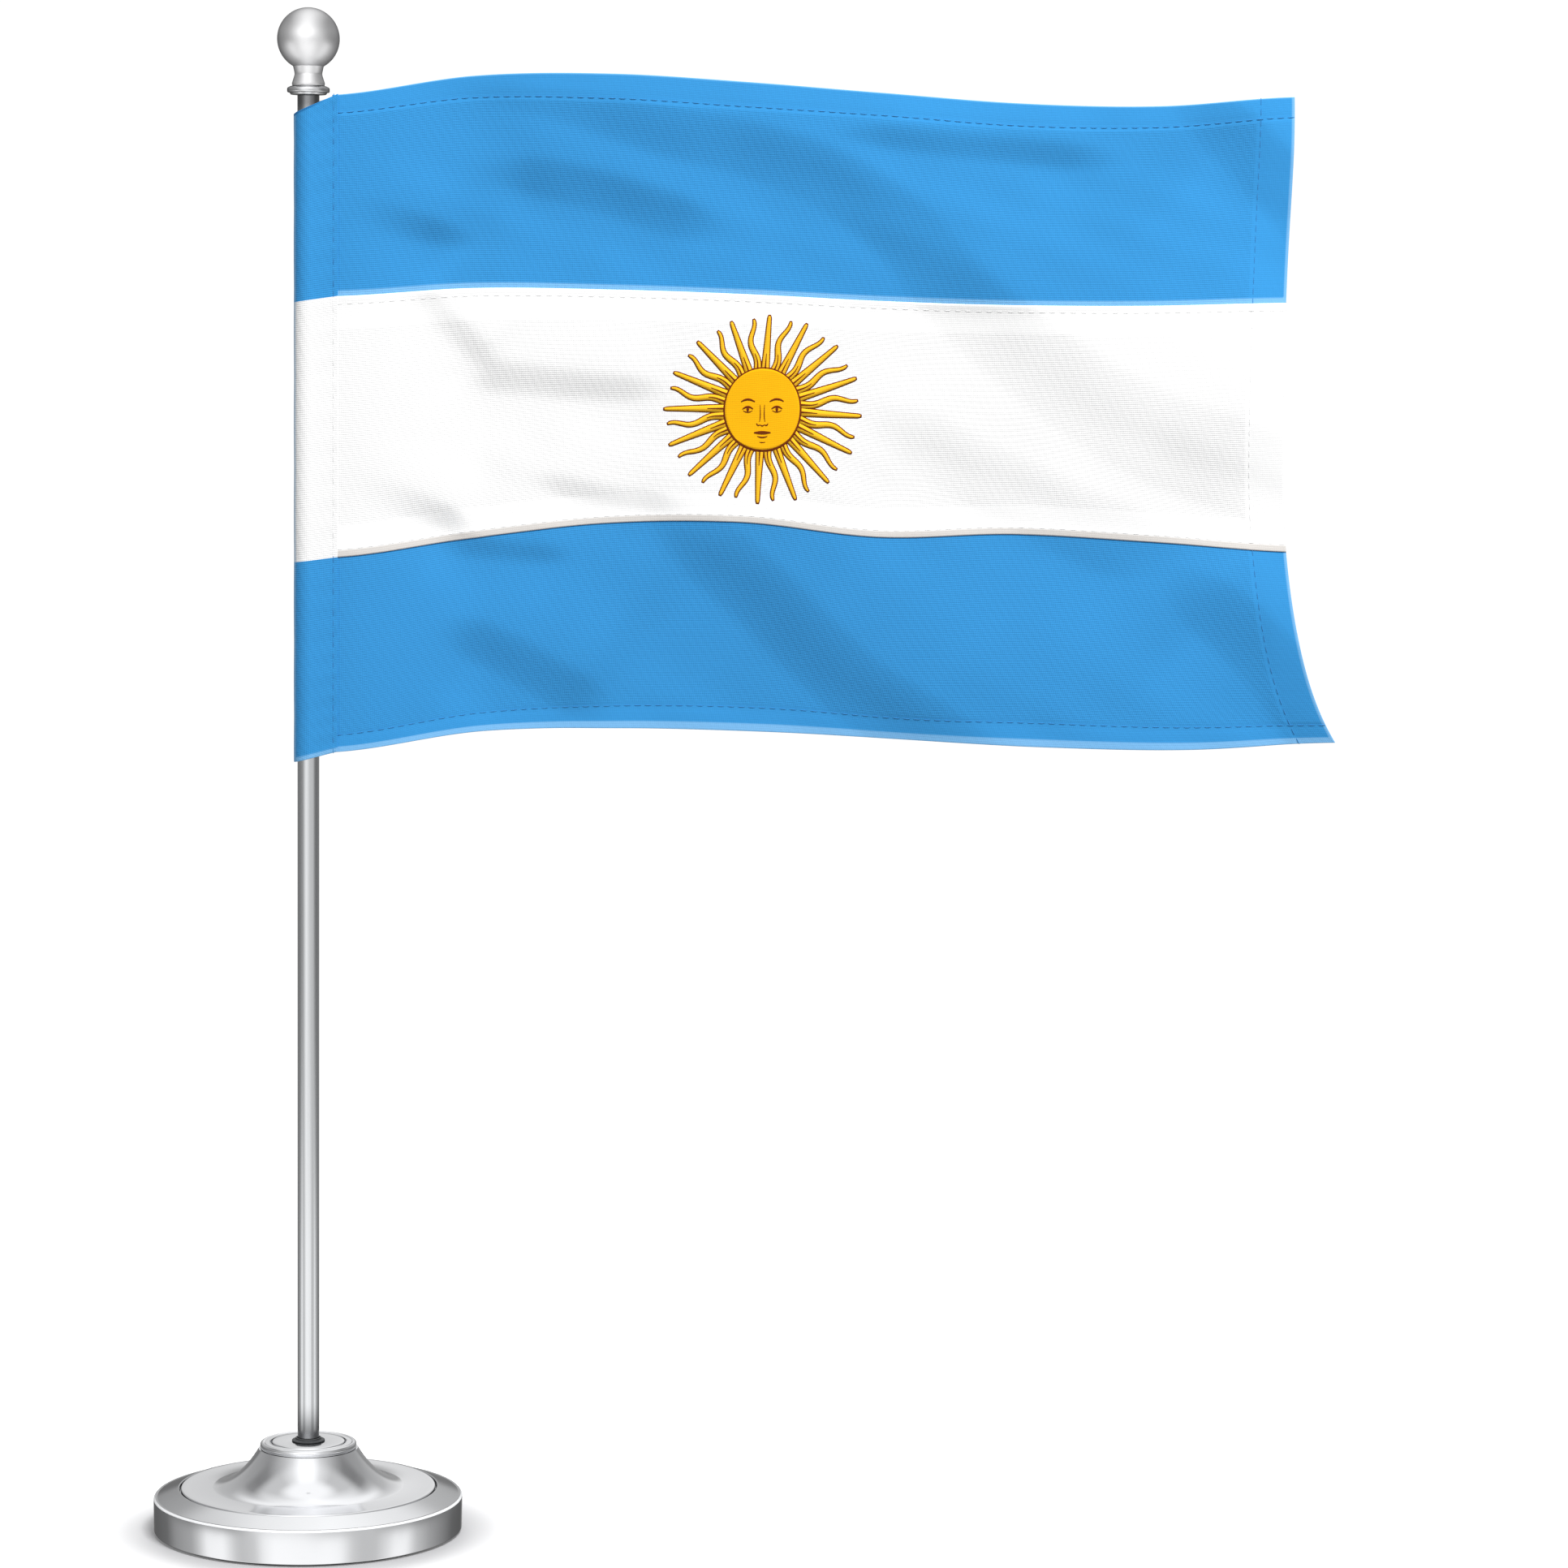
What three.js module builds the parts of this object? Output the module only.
// Desk flag stand: a weighted round base with a flared chrome cover, a lift-out steel pole with a
// screwed ball finial, and a small three-stripe flag that hangs from the pole by its sewn sleeve.
//
// Millimetres, +Z up. The origin is on the pole's axis at the table, the flag hangs towards +X and
// its front face looks towards -Y. Turned pieces are outlines of (radius, height) swept round Z.

import * as THREE from 'three';

// ---- Fits ---------------------------------------------------------------------------------------
const SEAT_GAP = 0.3; // between two faces that touch
const PRESS_GAP = 0.15; // radial, between a pressed or screwed piece and its bore
const SLIDING_GAP = 0.1; // radial, round a piece that slides or turns

// ---- Base ---------------------------------------------------------------------------------------
const BASE_RADIUS = 33;
const PAD_THICKNESS = 1.2;
const PLATE_THICKNESS = 0.7;
const RIM_CLEARANCE = 0.5; // the rim's lower edge stands this far off the table
const RIM_THICKNESS = 1;
const RIM_WALL_TOP = 7.7;
const RIM_SLOPE_WIDTH = 5.5;
const RIM_SLOPE_RISE = 1.9;
const RIM_LEDGE_WIDTH = 2;
const RIM_LEDGE_THICKNESS = 0.5;
const BELL_SHEET = 0.8;
const BELL_FOOT_RADIUS = 20.5; // where the flat part begins to flare upwards
const BELL_HEIGHT = 8.3; // from the flat part to the neck's edge
const NECK_RADIUS = 10.6;
const NECK_STEEPNESS = 1.7; // height over run, where the flare reaches the neck
const CAP_RADIUS = 10.3;
const CAP_HEIGHT = 1.1;
const CAP_LEDGE_THICKNESS = 1;
const BALLAST_THICKNESS = 3.4; // of its outer edge
const BALLAST_CHAMFER = 4.5;
const BALLAST_BOSS_RISE = 5.4;
const NUT_POCKET_DEPTH = 4.4;
const NUT_ACROSS_FLATS = 14;
const NUT_HEIGHT = 3;
const WASHER_RADIUS = 8.6;
const WASHER_THICKNESS = 0.8;

// ---- Socket that holds the pole -----------------------------------------------------------------
const SOCKET_WALL = 1.5;
const SOCKET_FLANGE_RADIUS = 7.8;
const SOCKET_FLANGE_THICKNESS = 0.9;
const BUSH_WALL = 0.9;
const BUSH_LIP_WALL = 0.35;
const BUSH_LIP_HEIGHT = 1.6;
const BUSH_FLOOR = 1;

// ---- Pole and finial ----------------------------------------------------------------------------
const POLE_RADIUS = 2.3;
const POLE_WALL = 0.45;
const POLE_TOP = 306.6;
const PLUG_HEAD = 1;
const PLUG_LENGTH = 8;
const INSERT_LENGTH = 9;
const INSERT_FLOOR = 1;
const STUD_RADIUS = 1.15;
const STUD_LENGTH = 14;
const COLLAR_RADIUS = 4.45;
const COLLAR_HEIGHT = 1.8;
const COLLAR_CUP_DEPTH = 0.8; // how far the pole's end goes up into the collar
const BALL_RADIUS = 6.55;
const FINIAL_HEIGHT = 16.35; // from the collar's top face to the top of the ball
const NECK_FOOT_RADIUS = 3.4;
const NECK_WAIST_RADIUS = 2.85;
const NECK_JOIN_RADIUS = 3.2;

// ---- Flag ---------------------------------------------------------------------------------------
const FLAG_TOP_GAP = 1.1; // from the pole's top down to the flat-hung upper edge
const FLAG_HOIST = 138; // flat-hung height of the three stripes
const FLAG_REACH = 200; // from the sleeve's seam to the fly edge
const STRIPE_COUNT = 3;
const CLOTH_THICKNESS = 0.8;
const SLEEVE_CLOTH = 0.3;
const SLEEVE_DEPTH = 3.6; // from the pole's side to the sewn end of the sleeve
const SLEEVE_TAIL = 1.5; // width of the sewn double layer
const SLEEVE_TOP_SLOPE = 0.45;
const SLEEVE_BOTTOM_SLOPE = 0.22;
const RING_WALL = 0.25;
const RING_LENGTH = 4;
const RING_INSET = 4; // from each end of the sleeve

// How far each line of the flag lies above its flat-hung height, at equal steps from the sleeve to
// the fly edge: the lower edge, the two seams between stripes, and the upper edge.
const DRAPE_RISE = [
  [0.4, 4.7, 5.7, 5.1, 3.7, 2.5, 2.4, 4.2],
  [-3.6, 0.5, 3.9, 4.4, 1.5, 2.3, 1.0, -0.8],
  [3.6, 5.6, 5.6, 4.9, 3.7, 3.1, 3.2, 4.0],
  [0.3, 4.6, 5.3, 3.8, 1.7, -0.2, -0.4, 1.8],
];
// How far the same four lines reach past FLAG_REACH at the fly edge.
const FLY_EXTRA = [11.6, 0.4, -0.3, 0.8];
// Diagonal ripples: depth, waves along the fly, waves up the hoist, and phase in turns.
const RIPPLES = [
  { depth: 3.6, along: 0.8, up: 1.7, phase: 0.1 },
  { depth: 1.8, along: 2.1, up: 1.1, phase: 0.45 },
];

// ---- Facets -------------------------------------------------------------------------------------
const LARGE_SEGMENTS = 44;
const MEDIUM_SEGMENTS = 28;
const SMALL_SEGMENTS = 20;
const PANEL_COLUMNS = 24;
const PANEL_ROWS = 5;

// ---- Derived heights and radii ------------------------------------------------------------------
const plateBottom = PAD_THICKNESS + SEAT_GAP;
const plateTop = plateBottom + PLATE_THICKNESS;
const rimInnerRadius = BASE_RADIUS - RIM_THICKNESS;
const rimSlopeRadius = BASE_RADIUS - RIM_SLOPE_WIDTH;
const rimTop = RIM_WALL_TOP + RIM_SLOPE_RISE;
const ledgeTop = rimTop - BELL_SHEET - SEAT_GAP;
const ledgeBottom = ledgeTop - RIM_LEDGE_THICKNESS;
const ballastBottom = plateTop + SEAT_GAP;
const ballastTop = ledgeBottom - SEAT_GAP;
const ballastRadius = rimInnerRadius - SEAT_GAP;
const pocketTop = ballastBottom + NUT_POCKET_DEPTH;
const neckTop = rimTop + BELL_HEIGHT;
const capBottom = neckTop + SEAT_GAP;
const capTop = capBottom + CAP_HEIGHT;
const flangeBottom = capBottom + SEAT_GAP;
const flangeTop = flangeBottom + SOCKET_FLANGE_THICKNESS;
const bushInnerRadius = POLE_RADIUS + SLIDING_GAP;
const bushOuterRadius = bushInnerRadius + BUSH_WALL;
const socketInnerRadius = bushOuterRadius + PRESS_GAP;
const socketOuterRadius = socketInnerRadius + SOCKET_WALL;
const boreRadius = socketOuterRadius + PRESS_GAP;
const bushBottom = ballastBottom + SEAT_GAP;
const poleFoot = bushBottom + BUSH_FLOOR + SEAT_GAP;
const tubeBottom = poleFoot + PLUG_HEAD + SEAT_GAP;
const tubeInnerRadius = POLE_RADIUS - POLE_WALL;
const plugRadius = tubeInnerRadius - PRESS_GAP;
const insertBoreRadius = STUD_RADIUS + PRESS_GAP;
const insertBottom = POLE_TOP - INSERT_LENGTH;
const collarCupTop = POLE_TOP + SEAT_GAP;
const collarBottom = collarCupTop - COLLAR_CUP_DEPTH - SEAT_GAP;
const collarTop = collarBottom + COLLAR_HEIGHT;
const finialBottom = collarTop + SEAT_GAP;
const finialTop = collarTop + FINIAL_HEIGHT;
const ballCentre = finialTop - BALL_RADIUS;
const studBottom = insertBottom + INSERT_FLOOR + SEAT_GAP;
const studTop = studBottom + STUD_LENGTH;
const ringInnerRadius = POLE_RADIUS + SLIDING_GAP;
const ringOuterRadius = ringInnerRadius + RING_WALL;
const sleeveInnerRadius = ringOuterRadius + SLIDING_GAP;
const sleeveOuterRadius = sleeveInnerRadius + SLEEVE_CLOTH;
const flagTop = POLE_TOP - FLAG_TOP_GAP;
const flagBottom = flagTop - FLAG_HOIST;
const sleeveSeam = POLE_RADIUS + SLEEVE_DEPTH;
const sleeveBottom = flagBottom - sleeveSeam * SLEEVE_BOTTOM_SLOPE;
const sleeveTop = flagTop - sleeveSeam * SLEEVE_TOP_SLOPE;
const panelStart = sleeveSeam + SEAT_GAP;

// ---- Materials ----------------------------------------------------------------------------------
function finish(color, roughness, metalness) {
  return new THREE.MeshStandardMaterial({ color, roughness, metalness });
}
const CHROME = finish(0xd9dce0, 0.12, 1);
const SATIN_STEEL = finish(0xc4c7ca, 0.28, 1);
const ZINC = finish(0x9fa3a6, 0.45, 1);
const CAST_IRON = finish(0x3a3b3d, 0.75, 0.6);
const DARK_PLASTIC = finish(0x2a2b2d, 0.5, 0);
const FELT = finish(0x1f2123, 0.95, 0);
const CLEAR_SILICONE = finish(0xd8dcdc, 0.35, 0);
const BLUE_CLOTH = finish(0x419dde, 0.8, 0);
const WHITE_CLOTH = finish(0xfafafa, 0.8, 0);

/** Points of an arc in (radius, height), from one angle to another in degrees. */
function arc(centreRadius, centreHeight, radius, fromDegrees, toDegrees, steps) {
  const points = [];
  for (let step = 0; step <= steps; step += 1) {
    const angle = THREE.MathUtils.degToRad(THREE.MathUtils.lerp(fromDegrees, toDegrees, step / steps));
    points.push([centreRadius + radius * Math.cos(angle), centreHeight + radius * Math.sin(angle)]);
  }
  return points;
}

/** A solid of revolution whose outline starts and ends on the axis. */
function turnedSolid(outline, segments) {
  const points = outline.map(([radius, height]) => new THREE.Vector2(radius, height));
  return new THREE.LatheGeometry(points, segments).rotateX(Math.PI / 2);
}

/** A solid of revolution with a hole through it: the outline closes on itself. */
function turnedRing(outline, segments) {
  return turnedSolid([...outline, outline[0]], segments);
}

/** A plain tube between two heights. */
function tube(innerRadius, outerRadius, bottom, top, segments) {
  const outline = [[innerRadius, bottom], [outerRadius, bottom], [outerRadius, top], [innerRadius, top]];
  return turnedRing(outline, segments);
}

/** A plain disc or cylinder between two heights. */
function disc(radius, bottom, top, segments) {
  return turnedSolid([[0, bottom], [radius, bottom], [radius, top], [0, top]], segments);
}

// ---- Base pieces --------------------------------------------------------------------------------

/** Upright wall, sloped ring and the ledge that the bell cover rests on. */
function baseRim() {
  const corner = 0.6;
  const ledgeInnerRadius = rimSlopeRadius - RIM_LEDGE_WIDTH;
  return turnedRing([
    [rimInnerRadius, RIM_CLEARANCE],
    [BASE_RADIUS, RIM_CLEARANCE],
    ...arc(BASE_RADIUS - corner, RIM_WALL_TOP - corner, corner, 0, 70, 3),
    [rimSlopeRadius, rimTop],
    [rimSlopeRadius, ledgeTop],
    [ledgeInnerRadius, ledgeTop],
    [ledgeInnerRadius, ledgeBottom],
    [rimSlopeRadius, ledgeBottom],
    [rimInnerRadius, RIM_WALL_TOP - RIM_THICKNESS],
  ], LARGE_SEGMENTS);
}

/** Curve of the bell's outside, from the flat part up to the neck. */
function bellFlare() {
  const reach = (BELL_HEIGHT * 0.89) / NECK_STEEPNESS;
  const foot = new THREE.Vector2(BELL_FOOT_RADIUS, rimTop);
  const bend = new THREE.Vector2(NECK_RADIUS + reach, neckTop - reach * NECK_STEEPNESS);
  const neck = new THREE.Vector2(NECK_RADIUS, neckTop);
  return new THREE.QuadraticBezierCurve(foot, bend, neck).getPoints(8).map((point) => [point.x, point.y]);
}

/** Pressed cover: a flat ring that flares up into a neck. */
function bellCover() {
  const edgeRadius = rimSlopeRadius - SEAT_GAP;
  const outside = bellFlare();
  const inside = outside.map(([radius, height]) => [radius - BELL_SHEET, height - BELL_SHEET]).reverse();
  return turnedRing([
    [edgeRadius, rimTop - BELL_SHEET],
    [edgeRadius, rimTop],
    ...outside,
    ...inside,
  ], LARGE_SEGMENTS);
}

/** Beaded ring that closes the neck and carries the socket's flange. */
function capRing() {
  const bead = CAP_HEIGHT / 2;
  const spigotRadius = NECK_RADIUS - BELL_SHEET - PRESS_GAP * 2;
  const recessRadius = SOCKET_FLANGE_RADIUS + SEAT_GAP;
  return turnedRing([
    [spigotRadius, capBottom],
    ...arc(CAP_RADIUS - bead, capBottom + bead, bead, -90, 90, 6),
    [recessRadius, capTop],
    [recessRadius, capBottom],
    [boreRadius, capBottom],
    [boreRadius, capBottom - CAP_LEDGE_THICKNESS],
    [spigotRadius, capBottom - CAP_LEDGE_THICKNESS],
  ], MEDIUM_SEGMENTS);
}

/** Flanged tube, threaded outside, that clamps the whole base together. */
function socketTube() {
  const bevel = 0.3;
  return turnedRing([
    [socketInnerRadius, ballastBottom],
    [socketOuterRadius, ballastBottom],
    [socketOuterRadius, flangeBottom],
    [SOCKET_FLANGE_RADIUS, flangeBottom],
    [SOCKET_FLANGE_RADIUS, flangeTop - bevel],
    [SOCKET_FLANGE_RADIUS - bevel, flangeTop],
    [socketInnerRadius, flangeTop],
  ], MEDIUM_SEGMENTS);
}

/** Plastic cup inside the socket tube; the pole stands on its floor. */
function poleBush() {
  const lipRadius = bushInnerRadius + BUSH_LIP_WALL;
  const shoulder = flangeTop - SEAT_GAP;
  return turnedSolid([
    [0, bushBottom],
    [bushOuterRadius, bushBottom],
    [bushOuterRadius, shoulder],
    [lipRadius, flangeTop],
    [lipRadius, flangeTop + BUSH_LIP_HEIGHT],
    [bushInnerRadius, flangeTop + BUSH_LIP_HEIGHT],
    [bushInnerRadius, bushBottom + BUSH_FLOOR],
    [0, bushBottom + BUSH_FLOOR],
  ], SMALL_SEGMENTS);
}

/** Cast disc with a boss and a pocket for the nut. */
function ballastWeight() {
  const pocketRadius = NUT_ACROSS_FLATS / Math.sqrt(3) + 1.4;
  const bossRadius = boreRadius + 3.5;
  const bossSpread = 3;
  return turnedRing([
    [pocketRadius, ballastBottom],
    [ballastRadius, ballastBottom],
    [ballastRadius, ballastBottom + BALLAST_THICKNESS],
    [ballastRadius - BALLAST_CHAMFER, ballastTop],
    [bossRadius + bossSpread, ballastTop],
    [bossRadius, ballastTop + BALLAST_BOSS_RISE],
    [boreRadius, ballastTop + BALLAST_BOSS_RISE],
    [boreRadius, pocketTop],
    [pocketRadius, pocketTop],
  ], LARGE_SEGMENTS);
}

/** Plain washer between the ballast and the nut. */
function clampWasher() {
  const top = pocketTop - SEAT_GAP;
  return tube(boreRadius, WASHER_RADIUS, top - WASHER_THICKNESS, top, SMALL_SEGMENTS);
}

/** Hexagon nut on the socket tube's thread. */
function clampNut() {
  const corners = 6;
  const cornerRadius = NUT_ACROSS_FLATS / Math.sqrt(3);
  const outline = new THREE.Shape();
  for (let corner = 0; corner < corners; corner += 1) {
    const angle = (corner / corners) * Math.PI * 2;
    const point = [cornerRadius * Math.cos(angle), cornerRadius * Math.sin(angle)];
    if (corner === 0) outline.moveTo(...point);
    else outline.lineTo(...point);
  }
  outline.holes.push(new THREE.Path().absarc(0, 0, boreRadius, 0, Math.PI * 2, true));
  const top = pocketTop - WASHER_THICKNESS - SEAT_GAP * 2;
  const sweep = { depth: NUT_HEIGHT, bevelEnabled: false, curveSegments: 12 };
  return new THREE.ExtrudeGeometry(outline, sweep).translate(0, 0, top - NUT_HEIGHT);
}

/** Sheet disc pressed into the rim from below. */
function basePlate() {
  return disc(rimInnerRadius - PRESS_GAP, plateBottom, plateTop, LARGE_SEGMENTS);
}

/** Felt disc that the stand rests on. */
function feltPad() {
  return disc(rimInnerRadius - PRESS_GAP, 0, PAD_THICKNESS, LARGE_SEGMENTS);
}

// ---- Pole and finial pieces ---------------------------------------------------------------------

/** Thin steel tube. */
function poleTube() {
  return tube(tubeInnerRadius, POLE_RADIUS, tubeBottom, POLE_TOP, SMALL_SEGMENTS);
}

/** Rounded plastic plug in the pole's lower end. */
function poleFootPlug() {
  const edge = 0.4;
  return turnedSolid([
    [0, poleFoot],
    [POLE_RADIUS - edge, poleFoot],
    [POLE_RADIUS, poleFoot + edge],
    [POLE_RADIUS, poleFoot + PLUG_HEAD],
    [plugRadius, poleFoot + PLUG_HEAD],
    [plugRadius, poleFoot + PLUG_HEAD + PLUG_LENGTH],
    [0, poleFoot + PLUG_HEAD + PLUG_LENGTH],
  ], SMALL_SEGMENTS);
}

/** Threaded cup pressed into the pole's upper end for the finial's stud. */
function poleTopInsert() {
  return turnedSolid([
    [0, insertBottom],
    [plugRadius, insertBottom],
    [plugRadius, POLE_TOP],
    [insertBoreRadius, POLE_TOP],
    [insertBoreRadius, insertBottom + INSERT_FLOOR],
    [0, insertBottom + INSERT_FLOOR],
  ], SMALL_SEGMENTS);
}

/** Beaded collar, cupped underneath over the pole's end. */
function finialCollar() {
  const lowerEdge = 0.5;
  const bead = 0.45;
  const cupRadius = POLE_RADIUS + SEAT_GAP;
  return turnedRing([
    [cupRadius, collarBottom],
    ...arc(COLLAR_RADIUS - lowerEdge, collarBottom + lowerEdge, lowerEdge, -90, 0, 3),
    ...arc(COLLAR_RADIUS - bead, collarTop - bead, bead, 0, 90, 3),
    [insertBoreRadius, collarTop],
    [insertBoreRadius, collarCupTop],
    [cupRadius, collarCupTop],
  ], MEDIUM_SEGMENTS);
}

/** Ball and waisted neck in one piece, drilled from below for the stud. */
function finialBall() {
  const neckSink = Math.sqrt(BALL_RADIUS ** 2 - NECK_JOIN_RADIUS ** 2);
  const joinHeight = ballCentre - neckSink;
  const joinAngle = THREE.MathUtils.radToDeg(Math.atan2(-neckSink, NECK_JOIN_RADIUS));
  const footTop = finialBottom + 0.3;
  const waistHeight = THREE.MathUtils.lerp(footTop, joinHeight, 0.55);
  return turnedSolid([
    [0, studTop + SEAT_GAP],
    [insertBoreRadius, studTop + SEAT_GAP],
    [insertBoreRadius, finialBottom],
    [NECK_FOOT_RADIUS, finialBottom],
    [NECK_FOOT_RADIUS, footTop],
    [(NECK_FOOT_RADIUS + NECK_WAIST_RADIUS) / 2, (footTop + waistHeight) / 2],
    [NECK_WAIST_RADIUS, waistHeight],
    ...arc(0, ballCentre, BALL_RADIUS, joinAngle, 90, 14).slice(0, -1),
    [0, finialTop],
  ], MEDIUM_SEGMENTS);
}

/** Threaded stud that joins the ball to the pole. */
function finialStud() {
  return disc(STUD_RADIUS, studBottom, studTop, 16);
}

// ---- Flag pieces --------------------------------------------------------------------------------

/** Smooth value through equally spaced samples, at a fraction 0 to 1 of their run. */
function throughSamples(samples, fraction) {
  const points = samples.map((value, index) => new THREE.Vector2(index / (samples.length - 1), value));
  return new THREE.SplineCurve(points).getPoint(fraction).y;
}

/** Cubic through the four lines of the flag, at a fraction 0 to 1 up the hoist. */
function acrossLines(values, fraction) {
  let total = 0;
  values.forEach((value, line) => {
    let weight = value;
    for (let other = 0; other < values.length; other += 1) {
      if (other !== line) weight *= (fraction * STRIPE_COUNT - other) / (line - other);
    }
    total += weight;
  });
  return total;
}

/** Middle surface of the hanging cloth, from the sleeve (0) to the fly (1) and bottom (0) to top (1). */
function clothPoint(along, up) {
  const rise = acrossLines(DRAPE_RISE.map((samples) => throughSamples(samples, along)), up);
  const fly = sleeveSeam + FLAG_REACH + acrossLines(FLY_EXTRA, up);
  const free = THREE.MathUtils.smoothstep(along, 0, 0.25);
  let depth = 0;
  RIPPLES.forEach((ripple) => {
    depth += ripple.depth * Math.sin(2 * Math.PI * (ripple.along * along + ripple.up * up + ripple.phase));
  });
  return new THREE.Vector3(
    THREE.MathUtils.lerp(panelStart, fly, along),
    free * depth,
    flagBottom + FLAG_HOIST * up + rise,
  );
}

/** One sewn stripe, counted from the lower edge, with half a seam gap at each inner seam. */
function stripePanel(index) {
  const halfGap = SEAT_GAP / 2 / FLAG_HOIST;
  const low = index / STRIPE_COUNT + (index > 0 ? halfGap : 0);
  const high = (index + 1) / STRIPE_COUNT - (index < STRIPE_COUNT - 1 ? halfGap : 0);
  const geometry = new THREE.BoxGeometry(1, 1, 1, PANEL_COLUMNS, 1, PANEL_ROWS);
  const corner = new THREE.Vector3();
  const positions = geometry.attributes.position;
  for (let vertex = 0; vertex < positions.count; vertex += 1) {
    corner.fromBufferAttribute(positions, vertex);
    const point = clothPoint(corner.x + 0.5, THREE.MathUtils.lerp(low, high, corner.z + 0.5));
    positions.setXYZ(vertex, point.x, point.y + corner.y * CLOTH_THICKNESS, point.z);
  }
  return geometry;
}

/** Where a line from a point (distance, offset) touches a circle, as the touching point's angle. */
function tangentAngle(radius, distance, offset) {
  return Math.atan2(offset, distance) + Math.acos(radius / Math.hypot(distance, offset));
}

/** Loop of cloth round the pole, sewn to itself behind a short double tail. */
function hoistSleeve() {
  const tailStart = sleeveSeam - SLEEVE_TAIL;
  const outerTouch = tangentAngle(sleeveOuterRadius, tailStart, SLEEVE_CLOTH);
  const innerTouch = tangentAngle(sleeveInnerRadius, tailStart - SLEEVE_CLOTH, 0);
  const outside = new THREE.Shape();
  outside.moveTo(tailStart, -SLEEVE_CLOTH);
  outside.lineTo(sleeveSeam, -SLEEVE_CLOTH);
  outside.lineTo(sleeveSeam, SLEEVE_CLOTH);
  outside.lineTo(tailStart, SLEEVE_CLOTH);
  outside.absarc(0, 0, sleeveOuterRadius, outerTouch, Math.PI * 2 - outerTouch, false);
  const inside = new THREE.Path();
  inside.absarc(0, 0, sleeveInnerRadius, innerTouch, Math.PI * 2 - innerTouch, false);
  inside.lineTo(tailStart - SLEEVE_CLOTH, 0);
  outside.holes.push(inside);
  const length = sleeveTop - sleeveBottom;
  const sweep = { depth: length, steps: 6, bevelEnabled: false, curveSegments: 16 };
  const geometry = new THREE.ExtrudeGeometry(outside, sweep);
  const positions = geometry.attributes.position;
  for (let vertex = 0; vertex < positions.count; vertex += 1) {
    const height = positions.getZ(vertex);
    const slope = THREE.MathUtils.lerp(SLEEVE_BOTTOM_SLOPE, SLEEVE_TOP_SLOPE, height / length);
    positions.setZ(vertex, sleeveBottom + height + slope * positions.getX(vertex));
  }
  return geometry;
}

/** Thin clear ring that grips the pole inside the sleeve. */
function gripRing(bottom) {
  return tube(ringInnerRadius, ringOuterRadius, bottom, bottom + RING_LENGTH, SMALL_SEGMENTS);
}

// ---- Assembly -----------------------------------------------------------------------------------

const stand = new THREE.Group();

function add(group, name, geometry, material) {
  const mesh = new THREE.Mesh(geometry, material);
  mesh.name = name;
  group.add(mesh);
}

const base = new THREE.Group();
add(base, 'felt_pad', feltPad(), FELT);
add(base, 'base_plate', basePlate(), ZINC);
add(base, 'base_rim', baseRim(), CHROME);
add(base, 'bell_cover', bellCover(), CHROME);
add(base, 'cap_ring', capRing(), CHROME);
add(base, 'socket_tube', socketTube(), CHROME);
add(base, 'pole_bush', poleBush(), DARK_PLASTIC);
add(base, 'ballast_weight', ballastWeight(), CAST_IRON);
add(base, 'clamp_washer', clampWasher(), ZINC);
add(base, 'clamp_nut', clampNut(), ZINC);
stand.add(base);

const pole = new THREE.Group();
add(pole, 'pole_tube', poleTube(), SATIN_STEEL);
add(pole, 'pole_foot_plug', poleFootPlug(), DARK_PLASTIC);
add(pole, 'pole_top_insert', poleTopInsert(), ZINC);
stand.add(pole);

const finial = new THREE.Group();
add(finial, 'finial_collar', finialCollar(), CHROME);
add(finial, 'finial_ball', finialBall(), CHROME);
add(finial, 'finial_stud', finialStud(), ZINC);
stand.add(finial);

const flag = new THREE.Group();
add(flag, 'hoist_sleeve', hoistSleeve(), BLUE_CLOTH);
add(flag, 'lower_stripe', stripePanel(0), BLUE_CLOTH);
add(flag, 'middle_stripe', stripePanel(1), WHITE_CLOTH);
add(flag, 'upper_stripe', stripePanel(2), BLUE_CLOTH);
add(flag, 'lower_grip_ring', gripRing(sleeveBottom + RING_INSET), CLEAR_SILICONE);
add(flag, 'upper_grip_ring', gripRing(sleeveTop - RING_INSET - RING_LENGTH), CLEAR_SILICONE);
stand.add(flag);

export default stand;
